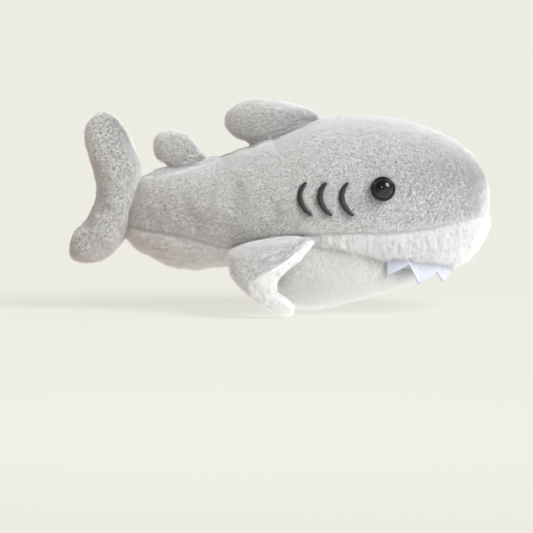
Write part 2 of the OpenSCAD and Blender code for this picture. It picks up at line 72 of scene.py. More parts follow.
# x, top, widest height, bottom, half width, squareness below the widest
UPPER = [
    (-45.6, 26.5, 26.5, 26.5, 0.0, 2.3),
    (-43.4, 34.0, 26.5, 19.4, 3.6, 2.3),
    (-37.8, 39.6, 27.0, 15.4, 7.6, 2.3),
    (-28.0, 41.5, 27.5, 11.7, 12.2, 2.3),
    (-16.0, 44.4, 28.5, 12.8, 16.8, 2.5),
    (-2.0, 49.4, 30.0, 14.0, 20.6, 3.0),
    (12.0, 54.7, 31.0, 14.2, 22.8, 3.4),
    (26.0, 55.7, 31.5, 13.6, 23.2, 3.5),
    (40.0, 53.0, 31.5, 12.8, 20.8, 3.4),
    (51.0, 48.0, 31.5, 13.8, 15.8, 3.0),
    (57.6, 41.2, 32.0, 21.0, 9.4, 2.6),
    (60.0, 32.5, 32.5, 32.5, 0.0, 2.3),
]
JAW = [
    (-9.5, 12.0, 12.0, 12.0, 0.0, 2.4),
    (-6.0, 19.0, 13.5, 4.6, 13.0, 2.4),
    (1.0, 22.0, 15.5, 0.7, 19.2, 2.4),
    (10.0, 22.4, 16.0, 0.0, 21.0, 2.4),
    (20.0, 21.6, 15.6, 2.2, 20.8, 2.4),
    (27.0, 19.0, 14.2, 4.3, 18.6, 2.4),
    (33.0, 15.6, 12.6, 6.2, 15.6, 2.4),
    (38.5, 13.8, 12.2, 8.8, 9.6, 2.4),
    (41.0, 12.6, 12.6, 12.6, 0.0, 2.4),
]
SEAM_X = (-43, -31, -23, -15, -2, 8, 20, 30, 37, 43, 49, 54, 60)
SEAM_Z = (23.6, 21.8, 20.0, 18.0, 20.6, 22.8, 23.2, 23.2, 23.7, 24.3, 25.3, 26.3, 27.6)
UNDER_SPLIT = 5 / 11
TOP_POWER = 2.3
JAW_TOP_POWER = 4.0

# front edge x z, rear edge x z, half thickness, from the root inside the body to the tip
DORSAL = [
    (11.4, 53.4, -8.0, 45.4, 3.6),
    (11.2, 56.0, -9.8, 47.9, 4.0),
    (8.6, 57.9, -12.4, 48.7, 4.4),
    (3.2, 59.5, -15.0, 50.8, 4.6),
    (-2.4, 60.5, -16.3, 53.6, 4.3),
    (-7.6, 60.9, -15.8, 56.4, 3.3),
    (-12.3, 59.1, -12.3, 59.1, 0.0),
]
REAR_DORSAL = [
    (-20.0, 41.6, -31.4, 39.6, 3.0),
    (-21.2, 44.3, -33.1, 41.8, 3.4),
    (-22.7, 46.2, -35.6, 43.2, 3.8),
    (-24.6, 48.8, -36.6, 46.8, 3.8),
    (-27.3, 51.0, -35.7, 49.8, 3.0),
    (-31.6, 51.9, -31.6, 51.9, 0.0),
]
TAIL = [
    (-59.8, 14.6, -59.8, 14.6, 0.0),
    (-54.6, 12.6, -59.4, 20.8, 3.6),
    (-48.0, 14.4, -55.9, 25.6, 4.5),
    (-42.6, 21.0, -53.6, 30.6, 4.8),
    (-40.4, 28.5, -53.1, 34.8, 5.0),
    (-38.6, 36.4, -54.0, 39.6, 4.9),
    (-39.0, 42.0, -55.2, 44.0, 4.6),
    (-41.2, 48.0, -56.0, 48.8, 4.3),
    (-44.2, 53.0, -55.2, 53.6, 3.4),
    (-50.0, 57.3, -50.0, 57.3, 0.0),
]
# Each ring of the right pectoral: front seam, middle of the grey cover, rear seam, middle of the white one
PECTORAL = [
    ((-13.6, -14.0, 17.6), (10.0, -18.6, 21.4), (0, -0.25, 0.97), 2.4, 138, -12),
    ((-14.4, -18.4, 17.2), (9.2, -22.4, 20.8), (0, -0.45, 0.9), 3.0, 140, -12),
    ((-14.7, -22.6, 15.4), (6.6, -25.4, 17.6), (0, -0.75, 0.66), 3.4, 144, -14),
    ((-14.5, -25.6, 13.0), (3.0, -27.0, 14.2), (0, -0.9, 0.43), 3.5, 128, -26),
    ((-13.0, -27.2, 10.4), (0.0, -27.4, 10.8), (-0.05, -0.98, 0.2), 3.2, 84, -66),
    ((-10.2, -27.8, 7.2), (-0.6, -27.2, 7.4), (-0.1, -0.99, 0.1), 2.8, 34, -110),
    ((-6.6, -27.8, 3.8), (2.2, -26.8, 5.0), (-0.1, -0.99, 0.1), 2.4, 6, -140),
    ((-2.0, -27.4, 0.6), (6.8, -26.2, 2.2), (-0.1, -0.99, 0.1), 2.0, 0, -150),
]

EYE_AT = (28.6, 35.9)
GILL_X = (7.0, 12.6, 18.7)
GILL_Z = 33.0
GILL_HEIGHT = 9.0


# ---- numbers ----

def smooth(t):
    t = np.clip(t, 0, 1)
    return t * t * (3 - 2 * t)


def unit(v):
    return v / np.maximum(np.linalg.norm(v, axis=-1, keepdims=True), 1e-12)


def signed_power(v, p):
    return np.sign(v) * np.abs(v) ** p


def noise(points, size, seed):
    """Smooth noise from -1 to 1, in lumps of that size."""
    scaled = points / size
    cell = np.floor(scaled).astype(np.int64)
    part = smooth(scaled - cell)
    total = np.zeros(points.shape[:-1])
    for corner in itertools.product((0, 1), repeat=3):
        c = cell + corner
        mixed = (c[..., 0] * 73856093) ^ (c[..., 1] * 19349663) ^ (c[..., 2] * 83492791) ^ (seed * 2654435)
        mixed = ((mixed ^ (mixed >> 13)) * 1274126177) & 0x7FFFFFFF
        value = ((mixed ^ (mixed >> 15)) & 0xFFFF) / 0x7FFF - 1
        total += value * np.prod(np.where(corner, part, 1 - part), axis=-1)
    return total


def spline(before, rows, after, u):
    """Catmull-Rom through the rows, for each u from 0 to 1."""
    held = np.concatenate([[before], rows, [after]])
    n = len(rows) - 1
    x = np.clip(u, 0, 1) * n
    i = np.minimum(x.astype(int), n - 1)
    t = (x - i).reshape(x.shape + (1,) * (held.ndim - 1))
    a, b, c, d = (held[i + j] for j in range(4))
    return (2 * b + (c - a) * t + (2 * a - 5 * b + 4 * c - d) * t**2 + (3 * b - a - 3 * c + d) * t**3) / 2


def line_distance(points, line):
    """How far each point is from a line through several points."""
    best = np.full(points.shape[:-1], np.inf)
    for a, b in zip(line[:-1], line[1:]):
        a, b = np.array(a, float), np.array(b, float)
        along = np.clip(((points - a) @ (b - a)) / max((b - a) @ (b - a), 1e-9), 0, 1)
        best = np.minimum(best, np.linalg.norm(points - a - along[..., None] * (b - a), axis=-1))
    return best


# ---- the body's surface: u from tail to nose, f from 0 at the back round by +Y to 1 ----

RING = np.linspace(0, 2 * math.pi, 1441)


def body_rows(rows, u):
    rows = np.array(rows, float)
    swap = [0, 3, 2, 1, 4, 5]
    turned = np.array([1, 1, 1, 1, -1, 1])
    return spline(rows[1][swap] * turned, rows, rows[-2][swap] * turned, u)


def section(s, a, top_power):
    low = np.cos(a) < 0
    power = 2 / np.where(low, s[..., 5], top_power)
    height = np.where(low, s[..., 2] - s[..., 3], s[..., 1] - s[..., 2])
    y = s[..., 4] * signed_power(np.sin(a), power)
    z = s[..., 2] + height * signed_power(np.cos(a), power)
    return np.stack([np.broadcast_to(s[..., 0], y.shape), y, z], axis=-1)


class Loft:
    """A closed body loft, whose rings are stepped evenly along their length."""

    def __init__(self, rows, top_power):
        self.rows, self.top_power = rows, top_power

    def rings(self, us):
        s = body_rows(self.rows, us)[:, None, :]
        ring = section(s, RING[None, :], self.top_power)
        steps = np.linalg.norm(np.diff(ring, axis=1), axis=-1)
        return ring, np.concatenate([np.zeros((len(us), 1)), np.cumsum(steps, axis=1)], axis=1)

    def at(self, us, fs):
        """Points for each u of us and each f of its row of fs, and each ring's length."""
        ring, along = self.rings(us)
        out = np.empty(fs.shape + (3,))
        for i in range(len(us)):
            for k in range(3):
                out[i, :, k] = np.interp(fs[i] * along[i, -1], along[i], ring[i, :, k])
        return out, along[:, -1]

    def share_at(self, us, heights):
        """The share of each ring at which it comes down to that height, on its +Y side."""
        ring, along = self.rings(us)
        half = len(RING) // 2 + 1
        shares = []
        for i, z in enumerate(heights):
            falling = -ring[i, :half, 2]
            shares.append(np.interp(-z, falling, along[i, :half]) / max(along[i, -1], 1e-9))
        return np.array(shares)


upper = Loft(UPPER, TOP_POWER)
jaw = Loft(JAW, JAW_TOP_POWER)


def u_at(x):
    us = np.linspace(0, 1, 2001)
    return np.interp(x, body_rows(UPPER, us)[:, 0], us)


def seam_share(us):
    return upper.share_at(us, np.interp(body_rows(UPPER, us)[:, 0], SEAM_X, SEAM_Z))


def side_point(x, z, side=1, out=0.0):
    """A point of the body's side, and the way out of the body there."""
    us = np.array([u_at(x - 0.4), u_at(x), u_at(x + 0.4)])
    share = upper.share_at(us, [z, z, z])
    fs = share[:, None] + np.array([[-0.003, 0, 0.003]])
    p, _ = upper.at(us, fs)
    n = unit(np.cross(p[1, 2] - p[1, 0], p[2, 1] - p[0, 1]))
    n *= np.sign(n @ (p[1, 1] - [p[1, 1][0], 0, 31]))
    flip = np.array([1, side, 1])
    return (p[1, 1] + n * out) * flip, n * flip


# ---- cloth pressure ----

SIM_SIZE = 40  # the simulation runs on a copy this many times the real size, where Cloth is steady
sims = {}


def sim_mesh(name, rings, held, gathered):
    """A closed mesh of the rings, with its held and gathered points as vertex groups."""
    rows, cols = rings.shape[:2]
    verts = np.concatenate([rings.reshape(-1, 3), [rings[0].mean(axis=0)], [rings[-1].mean(axis=0)]])
    faces = []
    for i, j in itertools.product(range(rows - 1), range(cols)):
        k = (j + 1) % cols
        faces.append((i * cols + j, i * cols + k, (i + 1) * cols + k, (i + 1) * cols + j))
    for j in range(cols):
        k = (j + 1) % cols
        faces.append((rows * cols, k, j))
        faces.append((rows * cols + 1, (rows - 1) * cols + j, (rows - 1) * cols + k))
    mesh = bpy.data.meshes.new(name)
    mesh.from_pydata((verts * MM * SIM_SIZE).tolist(), [], faces)
    ob = bpy.data.objects.new(name, mesh)
    bpy.context.scene.collection.objects.link(ob)
    bm = bmesh.new()
    bm.from_mesh(mesh)
    bmesh.ops.recalc_face_normals(bm, faces=bm.faces)
    bm.to_mesh(mesh)
    bm.free()
    for group, weights in (("held", held), ("gathered", gathered)):
        g = ob.vertex_groups.new(name=group)
        for i, w in enumerate(np.ravel(weights)):
            if w > 0.01:
                g.add([i], float(w), "REPLACE")
    return ob


def add_sim(name, rings, held, gathered, pressure, cap, span, closed=(True, True)):
    """Queues a stuffed shape to be swollen by Cloth pressure. cap is how far a point may move, span the
    part of u that its rings cover, and closed says which of its ends come to a point."""
    sims[name] = dict(rings=rings, held=held, gathered=gathered, pressure=pressure, cap=cap, span=span, closed=closed)


def run_sims(frames=18):
    """Swells all the stuffed shapes together, and keeps how far each of their points moved."""
    for name, sim in sims.items():
        sim["moved"] = np.zeros_like(sim["rings"])
    made = {}
    for name, sim in sims.items():
        ob = sim_mesh("sim_" + name, sim["rings"], sim["held"], sim["gathered"])
        cloth = ob.modifiers.new("stuffed", "CLOTH")
        s = cloth.settings
        s.quality = 5
        s.mass = 0.3
        s.tension_stiffness = s.compression_stiffness = 25
        s.shear_stiffness = 15
        s.bending_stiffness = 1.5
        s.air_damping = 4
        s.use_pressure = True
        s.uniform_pressure_force = sim["pressure"]
        s.vertex_group_mass = "held"
        s.vertex_group_shrink = "gathered"
        s.shrink_max = 0.12
        s.effector_weights.gravity = 0
        cloth.collision_settings.use_collision = False
        made[name] = ob
    scene = bpy.context.scene
    for f in range(1, frames + 1):
        scene.frame_set(f)
    depsgraph = bpy.context.evaluated_depsgraph_get()
    for name, ob in made.items():
        sim = sims[name]
        mesh = ob.evaluated_get(depsgraph).to_mesh()
        points = np.empty(len(mesh.vertices) * 3)
        mesh.vertices.foreach_get("co", points)
        points = points.reshape(-1, 3)[: sim["rings"].size // 3] / (MM * SIM_SIZE)
        moved = points.reshape(sim["rings"].shape) - sim["rings"]
        far = np.linalg.norm(moved, axis=-1, keepdims=True)
        print("SIM", name, "mean", round(float(far.mean()), 3), "max", round(float(far.max()), 3))
        sim["moved"] = moved * (sim["cap"] * np.tanh(far / sim["cap"]) / np.maximum(far, 1e-9))
        ob.evaluated_get(depsgraph).to_mesh_clear()
        bpy.data.objects.remove(ob)
    scene.frame_set(1)


def moved_at(name, us, fs):
    """How far the simulation moved the surface, at each u of us and each f of its row of fs."""
    grid = sims[name]["moved"]
    rows, cols = grid.shape[:2]
    low, high = sims[name]["span"]
    closed = sims[name]["closed"]
    along = spline(2 * grid[0] - grid[1], grid, 2 * grid[-1] - grid[-2], (us - low) / (high - low))
    ends = smooth(np.minimum(us if closed[0] else us + 1, 1 - us) / 0.14)[:, None, None]
    along = along.mean(axis=1, keepdims=True) * (1 - ends) * 0.5 + along * ends
    x = (fs % 1) * cols
    i = x.astype(int)
    t = (x - i)[..., None]
    row = np.arange(len(us))[:, None]
    a, b, c, d = (along[row, (i + j) % cols] for j in (-1, 0, 1, 2))
    return (2 * b + (c - a) * t + (2 * a - 5 * b + 4 * c - d) * t**2 + (3 * b - a - 3 * c + d) * t**3) / 2


# ---- meshes ----

def grid_normals(p, out_from):
    """The way out at each point of a grid, away from the middle of each of its rows."""
    n = unit(np.cross(np.gradient(p, axis=0), np.gradient(p, axis=1)))
    if np.sum(n * (p - out_from)) < 0:
        n = -n
    flat = np.linalg.norm(np.ptp(p, axis=1), axis=-1) < 1e-3
    for i in np.where(flat)[0]:
        near = i + 1 if i == 0 else i - 1
        n[i] = unit(n[near].mean(axis=0))
    return n


def skin_mesh(name, outer, normals, thickness, comb, pile):
    """A closed skin between a grid and its copy further in. comb and pile say how its pile lies."""
    rows, cols = outer.shape[:2]
    n = rows * cols
    thick = thickness if np.ndim(thickness) == 0 else thickness[..., None]
    inner = outer - normals * thick
    verts = np.concatenate([outer.reshape(-1, 3), inner.reshape(-1, 3)])
    at = np.arange(n).reshape(rows, cols)
    quads = np.stack([at[:-1, :-1], at[:-1, 1:], at[1:, 1:], at[1:, :-1]], axis=-1).reshape(-1, 4)
    a, b, d = outer.reshape(-1, 3)[quads[:, 0]], outer.reshape(-1, 3)[quads[:, 1]], outer.reshape(-1, 3)[quads[:, 3]]
    facing = np.sum(np.cross(b - a, d - a) * normals.reshape(-1, 3)[quads[:, 0]])
    if facing < 0:
        quads = quads[:, ::-1]
    loop = np.concatenate([at[0, :-1], at[:-1, -1], at[-1, :0:-1], at[:0:-1, 0]])
    if facing < 0:
        loop = loop[::-1]
    turn = np.roll(loop, -1)
    walls = np.stack([turn, loop, loop + n, turn + n], axis=-1)
    faces = np.concatenate([quads, quads[:, ::-1] + n, walls])
    mesh = bpy.data.meshes.new(name)
    mesh.from_pydata((verts * MM).tolist(), [], faces.tolist())
    lean = np.concatenate([comb.reshape(-1, 3)] * 2)
    mesh.attributes.new("comb", "FLOAT_VECTOR", "POINT").data.foreach_set("vector", lean.ravel())
    length = np.concatenate([np.broadcast_to(pile, (rows, cols)).ravel() * MM] * 2)
    mesh.attributes.new("pile", "FLOAT", "POINT").data.foreach_set("value", length)
    outside = np.arange(len(faces)) < len(quads)
    mesh.attributes.new("outside", "BOOLEAN", "FACE").data.foreach_set("value", outside)
    bm = bmesh.new()
    bm.from_mesh(mesh)
    bmesh.ops.remove_doubles(bm, verts=bm.verts, dist=1e-6)
    bm.to_mesh(mesh)
    bm.free()
    mesh.shade_smooth()
    ob = bpy.data.objects.new(name, mesh)
    bpy.context.scene.collection.objects.link(ob)
    return ob


def combed(normals, way):
    """That way, laid along the surface."""
    way = np.broadcast_to(np.array(way, float), normals.shape)
    return unit(way - normals * np.sum(way * normals, axis=-1, keepdims=True))


def plush_lumps(points, size=1.0):
    """The uneven surface of stuffed plush: soft lumps of stuffing, and tufts of nap."""
    lumps = 0.28 * noise(points, 9, 3) + 0.14 * noise(points, 4.2, 5)
    tufts = 0.09 * noise(points * (0.62, 1, 1), 1.1, 7) + 0.05 * noise(points, 0.6, 11)
    return size * (lumps + tufts)


def seam_dip(distance, depth=0.8, width=0.9):
    return depth * np.exp(-((distance / width) ** 2))


# ---- materials ----

def new_material(name):
    m = bpy.data.materials.new(name)
    m.use_nodes = True
    m.node_tree.nodes.clear()
    return m, m.node_tree


def add(tree, kind, inputs=None, **settings):
    """A node of that kind, with its settings, and its inputs given as numbers or as other nodes' outputs."""
    node = tree.nodes.new(kind)
    for key, value in settings.items():
        setattr(node, key, value)
    for key, value in (inputs or {}).items():
        if isinstance(value, bpy.types.NodeSocket):
            tree.links.new(value, node.inputs[key])
        else:
            node.inputs[key].default_value = value
    return node


def rgb(*values):
    """A colour as it is seen, turned to the linear one that shaders take."""
    linear = [v / 12.92 if v <= 0.04045 else ((v + 0.055) / 1.055) ** 2.4 for v in (x / 255 for x in values)]
    return (*linear, 1.0)


def plush_material(name, light, dark, sheen=0.05):
    """Short-piled plush: fine speckle and streaks of nap, over slow changes of shade."""
    m, tree = new_material(name)
    where = add(tree, "ShaderNodeTexCoord").outputs["Object"]
    streak = add(tree, "ShaderNodeMapping", {"Vector": where, "Scale": (0.55, 1, 1), "Rotation": (0, 0.5, 0)})
    nap = add(tree, "ShaderNodeTexNoise",
              {"Vector": streak.outputs[0], "Scale": 1 / (0.9 * MM), "Detail": 4.0, "Roughness": 0.65})
    slow = add(tree, "ShaderNodeTexNoise", {"Vector": where, "Scale": 1 / (9 * MM), "Detail": 2.0})
    mixed = add(tree, "ShaderNodeMath", {0: nap.outputs["Fac"], 1: 0.75}, operation="MULTIPLY")
    both = add(tree, "ShaderNodeMath", {0: slow.outputs["Fac"], 1: 0.25, 2: mixed.outputs[0]},
               operation="MULTIPLY_ADD")
    ramp = add(tree, "ShaderNodeValToRGB", {"Fac": both.outputs[0]})
    ramp.color_ramp.elements[0].position, ramp.color_ramp.elements[0].color = 0.32, dark
    ramp.color_ramp.elements[1].position, ramp.color_ramp.elements[1].color = 0.68, light
    fibre = add(tree, "ShaderNodeTexNoise",
                {"Vector": streak.outputs[0], "Scale": 1 / (0.28 * MM), "Detail": 3.0, "Roughness": 0.7})
    height = add(tree, "ShaderNodeMath", {0: nap.outputs["Fac"], 1: fibre.outputs["Fac"]}, operation="ADD")
    bump = add(tree, "ShaderNodeBump", {"Height": height.outputs[0], "Strength": 0.5, "Distance": 0.25 * MM})
    shader = add(tree, "ShaderNodeBsdfPrincipled", {
        "Base Color": ramp.outputs["Color"], "Roughness": 0.95, "Specular IOR Level": 0.1,
        "Sheen Weight": sheen, "Sheen Roughness": 0.5, "Normal": bump.outputs["Normal"]})
    add(tree, "ShaderNodeOutputMaterial", {"Surface": shader.outputs[0]})
    return m


NAP_TILT = 0.6


def strand_material(name, light, dark):
    """The fibres of a pile, each in its own shade. They catch the light as the nap that they make
    up does, so their normal is the fabric's, tilted against the way that they lean."""
    m, tree = new_material(name)
    tone = add(tree, "ShaderNodeAttribute", attribute_name="tone")
    up = add(tree, "ShaderNodeAttribute", attribute_name="up").outputs["Vector"]
    way = add(tree, "ShaderNodeAttribute", attribute_name="way").outputs["Vector"]
    tilted = add(tree, "ShaderNodeVectorMath", {0: way, 1: (-NAP_TILT,) * 3, 2: up}, operation="MULTIPLY_ADD")
    turned = add(tree, "ShaderNodeVectorTransform", {0: tilted.outputs["Vector"]},
                 vector_type="NORMAL", convert_from="OBJECT", convert_to="WORLD")
    normal = add(tree, "ShaderNodeVectorMath", {0: turned.outputs[0]}, operation="NORMALIZE")
    ramp = add(tree, "ShaderNodeValToRGB", {"Fac": tone.outputs["Fac"]})
    ramp.color_ramp.elements[0].color = dark
    ramp.color_ramp.elements[1].color = light
    shader = add(tree, "ShaderNodeBsdfPrincipled", {
        "Base Color": ramp.outputs["Color"], "Roughness": 0.9, "Specular IOR Level": 0.03,
        "Normal": normal.outputs["Vector"]})
    add(tree, "ShaderNodeOutputMaterial", {"Surface": shader.outputs[0]})
    return m


# ---- pile ----

def grow_pile(ob, material, density, width, stand, lean, tuft, seed):
    """Grows pile on the outside of a skin. density is strands per square millimetre, width is a
    strand's, stand and lean are how far it stands up and leans along the comb, as shares of its
    length, and tuft is the size of the tufts that lean together."""
    tree = bpy.data.node_groups.new("pile_" + ob.name, "GeometryNodeTree")
    tree.interface.new_socket("Geometry", in_out="INPUT", socket_type="NodeSocketGeometry")
    tree.interface.new_socket("Geometry", in_out="OUTPUT", socket_type="NodeSocketGeometry")
    skin = add(tree, "GeometryNodeObjectInfo", {"Object": ob}, transform_space="RELATIVE").outputs["Geometry"]

    def attribute(name, kind="FLOAT_VECTOR"):
        return add(tree, "GeometryNodeInputNamedAttribute", {"Name": name}, data_type=kind).outputs[0]

    def vector(operation, a, b=None, factor=None):
        inputs = {0: a}
        if b is not None:
            inputs[1] = b
        if factor is not None:
            inputs["Scale"] = factor
        return add(tree, "ShaderNodeVectorMath", inputs, operation=operation).outputs["Vector"]

    def math_(operation, a, b):
        return add(tree, "ShaderNodeMath", {0: a, 1: b}, operation=operation).outputs[0]

    def store(geometry, name, value, kind="FLOAT_VECTOR"):
        return add(tree, "GeometryNodeStoreNamedAttribute",
                   {"Geometry": geometry, "Name": name, "Value": value},
                   data_type=kind, domain="POINT").outputs[0]

    points = add(tree, "GeometryNodeDistributePointsOnFaces", {
        "Mesh": skin, "Selection": attribute("outside", "BOOLEAN"),
        "Density": density / MM**2, "Seed": seed})
    where = add(tree, "GeometryNodeInputPosition").outputs[0]
    tufts = add(tree, "ShaderNodeTexNoise", {"Vector": where, "Scale": 1 / (tuft * MM), "Detail": 1.0})
    tilt = vector("SUBTRACT", tufts.outputs["Color"], (0.5, 0.5, 0.5))
    stray = add(tree, "FunctionNodeRandomValue",
                {0: (-1, -1, -1), 1: (1, 1, 1), "Seed": seed + 1}, data_type="FLOAT_VECTOR").outputs[0]
    lean_way = vector("ADD", attribute("comb"), vector("SCALE", tilt, factor=1.7))
    lean_way = vector("ADD", lean_way, vector("SCALE", stray, factor=0.3))
    length = add(tree, "FunctionNodeRandomValue", {2: 0.7, 3: 1.1, "Seed": seed + 2}, data_type="FLOAT").outputs[1]
    length = math_("MULTIPLY", length, attribute("pile", "FLOAT"))
    speck = add(tree, "ShaderNodeTexNoise", {"Vector": where, "Scale": 1 / (0.8 * MM), "Detail": 2.0}).outputs[0]
    spread = add(tree, "FunctionNodeRandomValue", {2: -0.3, 3: 0.3, "Seed": seed + 3}, data_type="FLOAT").outputs[1]
    tone = math_("ADD", math_("MULTIPLY_ADD", speck, 2.2), spread)
    tone.node.inputs[0].links[0].from_node.inputs[2].default_value = -0.6
    planted = store(points.outputs["Points"], "root", where)
    planted = store(planted, "up", vector("SCALE", points.outputs["Normal"], factor=stand))
    planted = store(planted, "way", vector("SCALE", lean_way, factor=lean))
    planted = store(planted, "long", length, "FLOAT")
    planted = store(planted, "tone", tone, "FLOAT")
    line = add(tree, "GeometryNodeCurvePrimitiveLine", {"Start": (0, 0, 0), "End": (0, 0, 1e-4)}).outputs[0]
    line = add(tree, "GeometryNodeResampleCurve", {"Curve": line, "Count": 4}).outputs[0]
    strands = add(tree, "GeometryNodeInstanceOnPoints", {"Points": planted, "Instance": line}).outputs[0]
    strands = add(tree, "GeometryNodeRealizeInstances", {"Geometry": strands}).outputs[0]
    t = add(tree, "GeometryNodeSplineParameter").outputs["Factor"]
    bent = vector("ADD", vector("SCALE", attribute("up"), factor=t),
                  vector("SCALE", attribute("way"), factor=math_("MULTIPLY", t, t)))
    place = vector("ADD", attribute("root"), vector("SCALE", bent, factor=attribute("long", "FLOAT")))
    strands = add(tree, "GeometryNodeSetPosition", {"Geometry": strands, "Position": place}).outputs[0]
    thin = add(tree, "ShaderNodeMath", {0: t, 1: -0.35 * width * MM, 2: 0.5 * width * MM},
               operation="MULTIPLY_ADD").outputs[0]
    strands = add(tree, "GeometryNodeSetCurveRadius", {"Curve": strands, "Radius": thin}).outputs[0]
    add(tree, "NodeGroupOutput", {0: strands})
    curves = bpy.data.hair_curves.new("pile_" + ob.name)
    curves.materials.append(material)
    pile = bpy.data.objects.new("pile_" + ob.name, curves)
    pile.parent = ob
    bpy.context.scene.collection.objects.link(pile)
    pile.modifiers.new("pile", "NODES").node_group = tree


def dress(ob, fabric, strands, slot_name, replaced, **pile):
    """Gives a plush piece its fabric and its pile, and hides the CAD parts that it replaces."""
    ob.data.materials.append(fabric)
    grow_pile(ob, strands, **pile)
    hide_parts(*replaced)


GREY = plush_material("grey_plush", rgb(162, 165, 163), rgb(114, 116, 114))
WHITE = plush_material("white_plush", rgb(246, 248, 246), rgb(214, 216, 214))
PALE = plush_material("pale_plush", rgb(228, 230, 226), rgb(184, 187, 182))
GREY_PILE = strand_material("grey_pile", rgb(138, 142, 140), rgb(46, 49, 48))
WHITE_PILE = strand_material("white_pile", rgb(254, 255, 255), rgb(244, 248, 248))
PALE_PILE = strand_material("pale_pile", rgb(250, 254, 252), rgb(196, 202, 199))

# ---- what presses into the body's skin ----

pectoral_root = [(9.9, 22.5, 21.0), (-0.4, 19.6, 20.2), (-10.8, 15.8, 16.8)]
dorsal_root = [(10.4, 0, 55.2), (-9.6, 0, 47.4)]
rear_dorsal_root = [(-20.8, 0, 43.8), (-33.4, 0, 41.2)]
eye_point, eye_normal = side_point(*EYE_AT)


def gill_point(i, t, side, across=0.0, out=0.0):
    """A point of a stitched gill, t from its top to its bottom."""
    bow = 2.2 * (1 - (2 * t - 1) ** 2)
    x = GILL_X[i] - bow + 1.4 * t + across
    return side_point(x, GILL_Z + GILL_HEIGHT * (0.5 - t), side, out)[0]


def body_dents(points):
    """How deep the skin is pulled in, around the eyes, gills and fin roots."""
    mirrored = points * (1, 0, 1) + np.abs(points) * (0, 1, 0)
    deep = 0.3 * np.exp(-((np.linalg.norm(mirrored - eye_point, axis=-1) / 4.6) ** 2))
    for i in range(3):
        line = [gill_point(i, t, 1) for t in (0, 0.25, 0.5, 0.75, 1)]
        deep += 0.45 * np.exp(-((line_distance(mirrored, line) / 1.1) ** 2))
    deep += 0.9 * np.exp(-((line_distance(mirrored, pectoral_root) / 2.2) ** 2))
    for line, width in ((dorsal_root, 5.4), (rear_dorsal_root, 4.6)):
        away = np.abs(line_distance(mirrored, line) - width)
        deep += 0.7 * np.exp(-((away / 1.4) ** 2))
    return deep


# ---- simulation of every stuffed shape ----

SIM_US = np.linspace(0.02, 0.98, 40)
body_sim_fs = np.broadcast_to(np.arange(60) / 60, (40, 60))
body_rings, _ = upper.at(SIM_US, body_sim_fs)
share = seam_share(SIM_US)[:, None]
away = np.minimum(np.abs(body_sim_fs - share), np.abs(1 - body_sim_fs - share))
away = np.minimum(away, np.minimum(body_sim_fs, 1 - body_sim_fs))
add_sim("body", body_rings, np.zeros((40, 60)), np.exp(-((away / 0.012) ** 2)), 3.0, 0.3, (0.02, 0.98))

FIN_ROWS = {"dorsal_fin": DORSAL, "rear_dorsal_fin": REAR_DORSAL, "tail_fin": TAIL}


def fin_points(rows, us, vs):
    """Points of a flat fin. v from 0 to 1 is its right side from front to rear, and 1 to 2 its left."""
    rows = np.array(rows, float)
    swap = [2, 3, 0, 1, 4]
    turned = np.array([1, 1, 1, 1, -1])
    first = rows[1][swap] * turned if rows[0][4] == 0 else 2 * rows[0] - rows[1]
    s = spline(first, rows, rows[-2][swap] * turned, us)[:, None, :]
    along, across = np.cos(math.pi * vs), np.sin(math.pi * vs)
    x = (s[..., 0] + s[..., 2]) / 2 + (s[..., 0] - s[..., 2]) / 2 * along
    z = (s[..., 1] + s[..., 3]) / 2 + (s[..., 1] - s[..., 3]) / 2 * along
    y = -s[..., 4] * signed_power(across, 0.85)
    return np.stack([x, y, z], axis=-1)


def pectoral_points(us, vs):
    """Points of the right pectoral. v from 0 to 1 is its grey cover, and 1 to 2 its white one."""
    rings = np.array([(*far, *near, *unit(np.array(way)) * thick, front, rear) for far, near, way, thick, front, rear in PECTORAL])
    s = spline(2 * rings[0] - rings[1], rings, 2 * rings[-1] - rings[-2], us)[:, None, :]
    far, near, thick = s[..., 0:3], s[..., 3:6], s[..., 6:9]
    v = vs % 2
    turn = np.radians(np.where(v < 1, s[..., 9] + (s[..., 10] - s[..., 9]) * v,
                               s[..., 10] + (s[..., 9] - 360 - s[..., 10]) * (v - 1)))[..., None]
    end = np.clip((us - 0.72) / 0.28, 0, 1)[:, None, None]
    half = (near - far) / 2 * (1 - 0.7 * end**5)
    return (near + far) / 2 - half * np.cos(turn) + thick * np.sqrt(1 - end**3) * np.sin(turn)


FIN_US = np.linspace(0.03, 0.97, 20)
FIN_VS = np.broadcast_to(np.arange(32) / 16, (20, 32))
rim = np.minimum(FIN_VS % 1, 1 - FIN_VS % 1)
for name, rows in FIN_ROWS.items():
    held = (FIN_US[:, None] < 0.12) & (FIN_VS >= 0) if rows[0][4] else (rim < 0.08) & (FIN_US[:, None] * 0 + 1 > 2)
    add_sim(name, fin_points(rows, FIN_US, FIN_VS), held * 1.0, np.exp(-((rim / 0.03) ** 2)), 3.0, 0.7,
            (0.03, 0.97), (rows[0][4] == 0, True))
add_sim("pectoral", pectoral_points(FIN_US, FIN_VS), (FIN_US[:, None] < 0.2) * np.ones((20, 32)),
        np.exp(-((rim / 0.03) ** 2)), 3.0, 0.5, (0.03, 0.97), (False, True))
run_sims()

# ---- body panels ----


